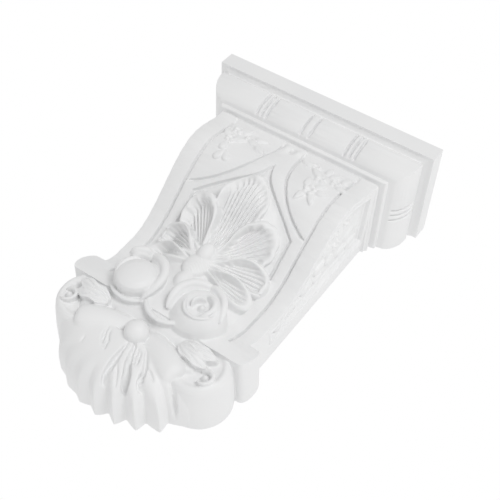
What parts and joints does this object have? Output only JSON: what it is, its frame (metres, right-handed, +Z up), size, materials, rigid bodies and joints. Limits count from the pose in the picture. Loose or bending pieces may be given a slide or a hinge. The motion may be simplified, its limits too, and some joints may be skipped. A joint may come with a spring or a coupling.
{
  "type": "console bracket",
  "caption": "Carved wall corbel with a moulded cap, an S-shaped front with palmette and roses, and scroll drums at its foot; carries a shelf or mantel.",
  "frame": {"origin": "the fixing point on the flat back, on the centre line, 100 mm below the top", "axes": "+X to the bracket's right, +Y into the wall, +Z up as it hangs"},
  "size_m": [0.16, 0.07, 0.2395],
  "materials": {
    "white_cast": "white primed cast polyurethane foam, matt"
  },
  "bodies": {
    "root": {"console_bracket": "white_cast"}
  },
  "joints": []
}
